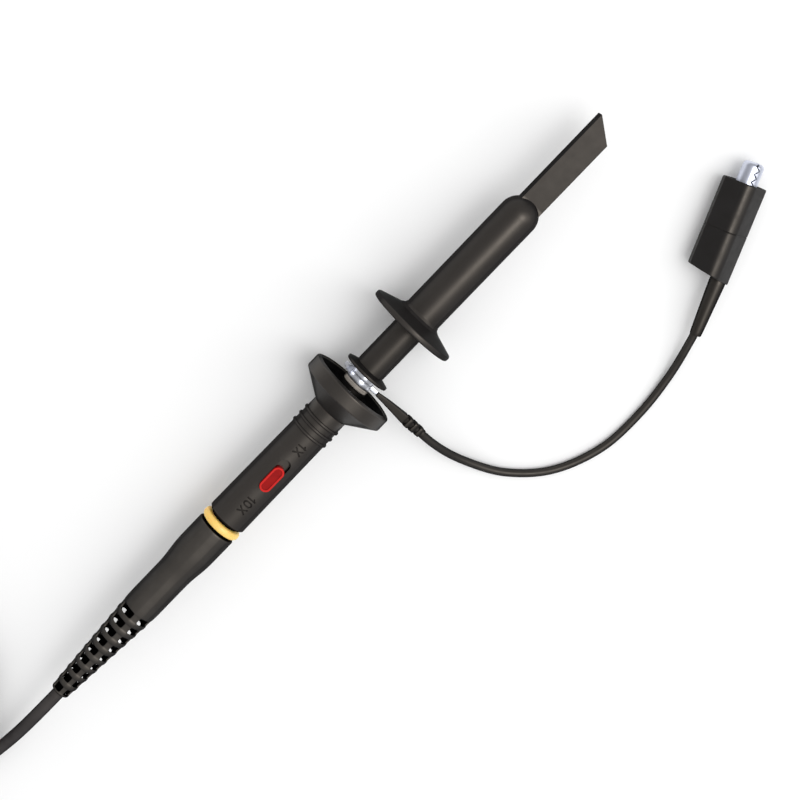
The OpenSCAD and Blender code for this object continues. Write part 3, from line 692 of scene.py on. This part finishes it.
def build_lead_boot():
    """Flat tapered boot: a box-like taper, then three square collars before the wire."""
    tilt, head_start, bow, bow_length = math.radians(15.7), 1.15, 0.6, 16
    along = Vector((0, -math.cos(tilt), -math.sin(tilt)))
    start = Vector((2.5, -6.4, 0)) * MM - along * head_start * MM
    # distance along, half width and half height in mm, and squareness
    stations = [(0, .4, .35, 3), (0.05, .5, .45, 4), (0.3, .56, .5, 5), (4.1, .88, .8, 6),
                (7.2, 1.08, .98, 6), (9.9, 1.26, 1.14, 6), (10.2, 1.28, 1.16, 6),
                (10.32, 1.22, 1.1, 5), (10.4, 1.06, 1.0, 3)]
    collar = [(-0.08, 1.0, 0.98, 3), (0, 1.34, 1.28, 4.5), (0.08, 1.4, 1.34, 5),
              (1.05, 1.4, 1.34, 5), (1.13, 1.34, 1.28, 4.5), (1.21, 1.0, 0.98, 3)]
    for s, k in ((11.1, 1.0), (13.1, 0.97), (15.1, 0.93)):
        stations += [(s + d, w * k, h * k, power) for d, w, h, power in collar]
    stations += [(17.05, 1.12, 1.1, 2.2), (17.3, 1.07, 1.06, 2)]
    path = [start + along * s * MM - Vector((bow * MM * ease(s / bow_length), 0, 0))
            for s, _, _, _ in stations]

    def section(i, u):
        _, w, h, power = stations[i]
        return squircle(w * MM, h * MM, power, 48)

    piece = new_piece("lead_boot_skin", *sweep(path, section), "lead_rubber", sharp=48)
    fix_to(piece, "ground_lead", "lead_boot")


def build_clip_tail():
    """The tapered boot at the clip's end of the wire."""
    side = -3.1 * MM
    profile = [(-35.0, 1.12), (-34.9, 1.42), (-34.6, 1.52), (-30, 1.7), (-25, 1.92),
               (-21.4, 2.08), (-18.9, 2.15)]
    rings = [[CLIP_TURN @ Vector((x * MM, side + a, b)) for a, b in circle(r * MM, 32)]
             for x, r in profile]
    piece = new_piece("clip_tail_skin", *skin(rings), "lead_rubber", sharp=50)
    modifier(piece, "SUBSURF", levels=1, render_levels=1)
    bake(piece)
    fix_to(piece, "ground_lead", "clip_tail")


SLEEVE_W, SLEEVE_H = 5.5, 4.5    # half width and half height, mm


def sleeve_section(inset):
    """The sleeve's eight-sided section: flat flanks, slopes and a rounded crown."""
    w, h, flank, crown = (SLEEVE_W - inset) * MM, (SLEEVE_H - inset) * MM, 0.9 * MM, 1.1 * MM
    corners = [(w, -flank), (w, flank), (crown, h), (-crown, h),
               (-w, flank), (-w, -flank), (-crown, -h), (crown, -h)]
    at_side, on_top = 0.4 * MM, 2.6 * MM
    return rounded(corners, (at_side, at_side, on_top, on_top) * 2)


def build_sleeve():
    """The clip's vinyl sleeve: a faceted tube, slanted behind, with a moulding seam."""
    back, front, seam = -20.9, 3.5, -8.6
    slant, slant_length, wall = math.tan(math.radians(11)), 7.0, 0.8
    outside = [(back + 0.3, 2.4), (back, 0.35), (back + 0.06, 0.1), (back + 0.25, 0.0),
               (back + 4, 0.0), (back + 8, 0.0),
               (seam - 0.3, 0.0), (seam - 0.2, -0.03), (seam - 0.14, -0.03), (seam - 0.06, 0.13),
               (seam + 0.06, 0.13), (seam + 0.14, -0.03), (seam + 0.2, -0.03), (seam + 0.3, 0.0),
               (-4, 0.0), (0, 0.0), (front - 0.35, 0.0), (front - 0.08, 0.1)]
    inside = [(front, 0.35), (front - 0.1, 0.62), (front - 0.5, 0.75), (front - 4, wall),
              (back + 2.5, wall)]
    rings = []
    for x, inset in outside + inside:
        share = 1 - ease((x - back) / slant_length)
        rings.append([CLIP_TURN @ Vector((x * MM + share * slant * (y + SLEEVE_W * MM), y, z))
                      for y, z in sleeve_section(inset)])
    verts, faces = skin(rings, closed_ends=False)
    piece = new_piece("clip_sleeve_skin", verts, faces, "clip_vinyl", sharp=60)
    modifier(piece, "WEIGHTED_NORMAL", weight=100, keep_sharp=True)
    fix_to(piece, "ground_lead", "clip_sleeve")


def build_jaw(name, side, node, body):
    """One half of the clip: a pressed half shell with a blunt nose and teeth that mesh."""
    front, back, root_r, thin = 8.7 * MM, -2.2 * MM, 2.85 * MM, 0.25 * MM
    first, pitch, depth, gap = 2.3 * MM, 1.9 * MM, 0.55 * MM, 0.36 * MM
    nose_length, nose_gap, nose_power, nose_share = 1.3 * MM, 0.28 * MM, 2.6, 0.62
    shift, flatness = -0.45 * MM, 0.94
    heel = 0.16                  # behind its pivot each edge falls away, so the jaw can open
    rows, cols = 110, 28
    verts, faces = [], []
    for i in range(rows + 1):
        x = back + (front - back) * (i / rows)
        nose = max(0.0, (x - (front - nose_length)) / nose_length)
        swell = (1 - nose ** nose_power) ** (1 / nose_power) * nose_share + 1 - nose_share
        r = (root_r - thin * (x - back) / (front - back)) * swell
        phase = ((x - first) / pitch) % 1.0
        zigzag = depth * (4 * abs(phase - 0.5) - 1) if x > first else depth
        edge = side * zigzag + gap / 2 + nose_gap * nose ** 2 + heel * max(0.0, -x)
        low = math.asin(max(-0.9, min(0.9, edge / r)))
        for k in range(cols + 1):
            a = low + (math.pi - 2 * low) * k / cols
            verts.append(JAW_TURN @ Vector((x, side * r * math.sin(a) + shift,
                                            flatness * r * math.cos(a))))
    n = cols + 1
    for i in range(rows):
        for k in range(cols):
            face = (i * n + k, i * n + k + 1, (i + 1) * n + k + 1, (i + 1) * n + k)
            faces.append(face[::-1] if side > 0 else face)
    piece = new_piece(name, verts, faces, "clip_nickel", closed=False)
    modifier(piece, "SOLIDIFY", thickness=0.4 * MM, offset=-1)
    modifier(piece, "BEVEL", width=0.05 * MM, segments=2, limit_method="ANGLE",
             angle_limit=math.radians(50))
    bake(piece)
    piece.data.set_sharp_from_angle(angle=math.radians(42))
    fix_to(piece, body, node)


build_lead_wire()
build_lead_boot()
build_clip_tail()
build_sleeve()
build_jaw("fixed_jaw_skin", -1, "fixed_jaw", "ground_lead")
build_jaw("moving_jaw_skin", 1, "moving_jaw", "clip_jaw")


# ---------------------------------------------------------------- rings

def build_marker_ring():
    """The coloured ring: a soft round bead between the handle and its boot."""
    lo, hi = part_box("marker_ring")
    mid, half, r = (lo.x + hi.x) / 2, (hi.x - lo.x) / 2 - 0.08 * MM, hi.y + 0.12 * MM
    bead, root, steps = 0.95 * MM, r - 1.3 * MM, 24
    profile = [(mid - half, root)]
    for i in range(steps + 1):
        a = math.pi * i / steps
        profile.append((mid - half * math.cos(a), r - bead + bead * math.sin(a) ** 0.8))
    profile.append((mid + half, root))
    piece = new_piece("marker_ring_skin", *lathe(profile), "yellow_ring", sharp=60)
    fix_to(piece, "handle", "marker_ring")


def ring_strip(name, path, section):
    """A flat strip of the ring's sheet metal along a path."""
    piece = new_piece(name, *sweep(path, section), "nickel", sharp=40)
    fix_to(piece, "ground_lead")


def build_ground_ring():
    """The ground lead's spring ring: two rolled bands, two flared ends and a neck."""
    lo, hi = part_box("ground_ring")
    x0, x1, r, bore = lo.x + 0.05 * MM, hi.x - 0.05 * MM, 3.3 * MM, 2.56 * MM
    mid, roll, groove, roll_steps = (x0 + x1) / 2, 0.14 * MM, 0.07 * MM, 8
    profile = []
    for a, b in ((x0, mid - groove), (mid + groove, x1)):
        for i in range(roll_steps + 1):
            t = math.pi * i / roll_steps
            profile.append((a + (b - a) * (0.5 - 0.5 * math.cos(t)),
                            r - roll + roll * math.sin(t) ** 0.6))
    split, steps = math.radians(9), 110
    section = profile + [(x1, bore), (x0, bore)]
    rings = []
    for k in range(steps + 1):
        a = split + (2 * math.pi - 2 * split) * k / steps
        rings.append([Vector((x, q * math.cos(a), q * math.sin(a))) for x, q in section])
    piece = new_piece("ground_ring_band", *skin(rings), "nickel", sharp=40)
    fix_to(piece, "ground_lead", "ground_ring")
    for sign, label in ((1, "upper"), (-1, "lower")):
        ring_strip("ground_ring_" + label,
                   [Vector((mid, (2.7 + 0.28 * t) * MM, sign * (0.5 + 0.02 * t * t) * MM))
                    for t in range(9)],
                   lambda i, u: squircle(1.05 * MM * (1 - 0.55 * u * u), 0.13 * MM, 6, 24))
    ring_strip("ground_ring_neck",
               [Vector((2.5 * MM, -y * MM, 0.02 * MM * (y - 2.9)))
                for y in (2.9, 3.3, 3.7, 4.2, 4.7, 5.2, 5.8, 6.4)],
               lambda i, u: squircle(0.62 * MM - 0.22 * MM * u, 0.16 * MM, 6, 24))


build_marker_ring()
build_ground_ring()


# ---------------------------------------------------------------- hook

def build_hook():
    """The hook wire: straight out of its socket, a joggle, then the curl and a flicked end."""
    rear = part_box("hook_wire")[0].x
    wire_r, joggle, curl, curl_x = 0.325 * MM, -1.9 * MM, 1.4 * MM, 78.6 * MM
    path = [Vector((rear, 0, 0)), Vector((32 * MM, 0, 0)), Vector((35.5 * MM, 0, 0))]
    path += [Vector((36 * MM + 6 * MM * t, joggle * ease(t), 0))
             for t in (i / 12 for i in range(1, 13))]
    path += [Vector((v * MM, joggle, 0)) for v in (46, 52, 58, 64, 70, 75, 78)]
    path += [Vector((curl_x + curl * math.sin(a), joggle + curl - curl * math.cos(a), 0))
             for a in (math.radians(7.5 * i) for i in range(25))]
    path += [Vector((curl_x - 0.5 * MM, joggle + 2 * curl, 0)),
             Vector((curl_x - 0.95 * MM, joggle + 2.05 * curl, 0))]
    verts, faces = sweep(path, lambda i, u: circle(wire_r * (1 - 0.25 * max(0, u - 0.97) / 0.03), 16))
    piece = new_piece("hook_wire_skin", verts, faces, "spring_steel", sharp=50)
    fix_to(piece, "hook_tip", "hook_wire")


def build_spring():
    """The sheath's compression spring."""
    lo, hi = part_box("hook_spring")
    turns, steps, coil_r, wire_r = 8, 30, 2.7 * MM, 0.25 * MM
    x0, x1 = lo.x + wire_r, hi.x - wire_r
    path = []
    for i in range(turns * steps + 1):
        a = 2 * math.pi * i / steps
        path.append(Vector((x0 + (x1 - x0) * i / (turns * steps),
                            coil_r * math.cos(a), coil_r * math.sin(a))))
    verts, faces = sweep(path, lambda i, u: circle(wire_r, 10), up=Vector((1, 0, 0)))
    piece = new_piece("hook_spring_skin", verts, faces, "spring_steel", sharp=50)
    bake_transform(piece)
    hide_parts("hook_spring")


build_hook()
build_spring()


# ---------------------------------------------------------------- stage

def build_floor():
    """A pale paper floor at the bench."""
    s = 3.0
    mesh = bpy.data.meshes.new("floor")
    mesh.from_pydata([(-s, -s, BENCH_Z), (s, -s, BENCH_Z), (s, s, BENCH_Z), (-s, s, BENCH_Z)],
                     [], [(0, 1, 2, 3)])
    floor = bpy.data.objects.new("floor", mesh)
    bpy.context.scene.collection.objects.link(floor)
    n = Nodes("floor_paper")
    tone = n.mix(n.remap(n.noise(6), 0.3, 0.7), (0.9, 0.9, 0.9), (0.93, 0.93, 0.93))
    paint(floor, n.set(Base_Color=tone, Roughness=0.9))


def build_world():
    """White surroundings, held darker in reflections so that black plastic stays black."""
    world = bpy.data.worlds.new("studio")
    bpy.context.scene.world = world
    world.use_nodes = True
    tree = world.node_tree
    background = tree.nodes["Background"]
    background.inputs["Color"].default_value = (1, 1, 1, 1)
    rays = tree.nodes.new("ShaderNodeLightPath")
    strength = tree.nodes.new("ShaderNodeMapRange")
    strength.inputs["To Min"].default_value = 0.84
    strength.inputs["To Max"].default_value = 0.4
    tree.links.new(rays.outputs["Is Glossy Ray"], strength.inputs["Value"])
    tree.links.new(strength.outputs["Result"], background.inputs["Strength"])


def area_light(name, place, size, power, diffuse=True, glossy=True):
    """A square soft box aimed at the object; it can be left out of one kind of reflection."""
    data = bpy.data.lights.new(name, "AREA")
    data.size = size
    data.energy = power
    obj = bpy.data.objects.new(name, data)
    bpy.context.scene.collection.objects.link(obj)
    obj.location = place
    obj.rotation_euler = (-obj.location).to_track_quat("-Z", "Y").to_euler()
    obj.visible_diffuse = diffuse
    obj.visible_glossy = glossy


def build_camera():
    """The photograph's view: nearly from above, the tip up and to the right."""
    back = Vector((0.135716, 0.289667, 0.947457)).normalized()
    up = Vector((0.710426, 0.638101, -0.296850))
    up = (up - back * up.dot(back)).normalized()
    target, distance = Vector((5.47, -9.64, 2.95)) * MM, 0.376
    data = bpy.data.cameras.new("camera")
    data.sensor_width = 36
    data.lens = 72
    data.clip_start = 0.01
    cam = bpy.data.objects.new("camera", data)
    bpy.context.scene.collection.objects.link(cam)
    m = Matrix((up.cross(back), up, back)).transposed().to_4x4()
    m.translation = target + back * distance
    cam.matrix_world = m
    bpy.context.scene.camera = cam


KEY_PLACE = (0.2, -0.16, 0.85)
build_floor()
build_world()
build_camera()
area_light("key", KEY_PLACE, 0.6, 2.6, glossy=False)
area_light("streak", KEY_PLACE, 0.22, 5.2, diffuse=False)
area_light("fill", (0.45, -0.5, 0.5), 0.4, 0.8)
bpy.context.scene.view_settings.view_transform = "Standard"
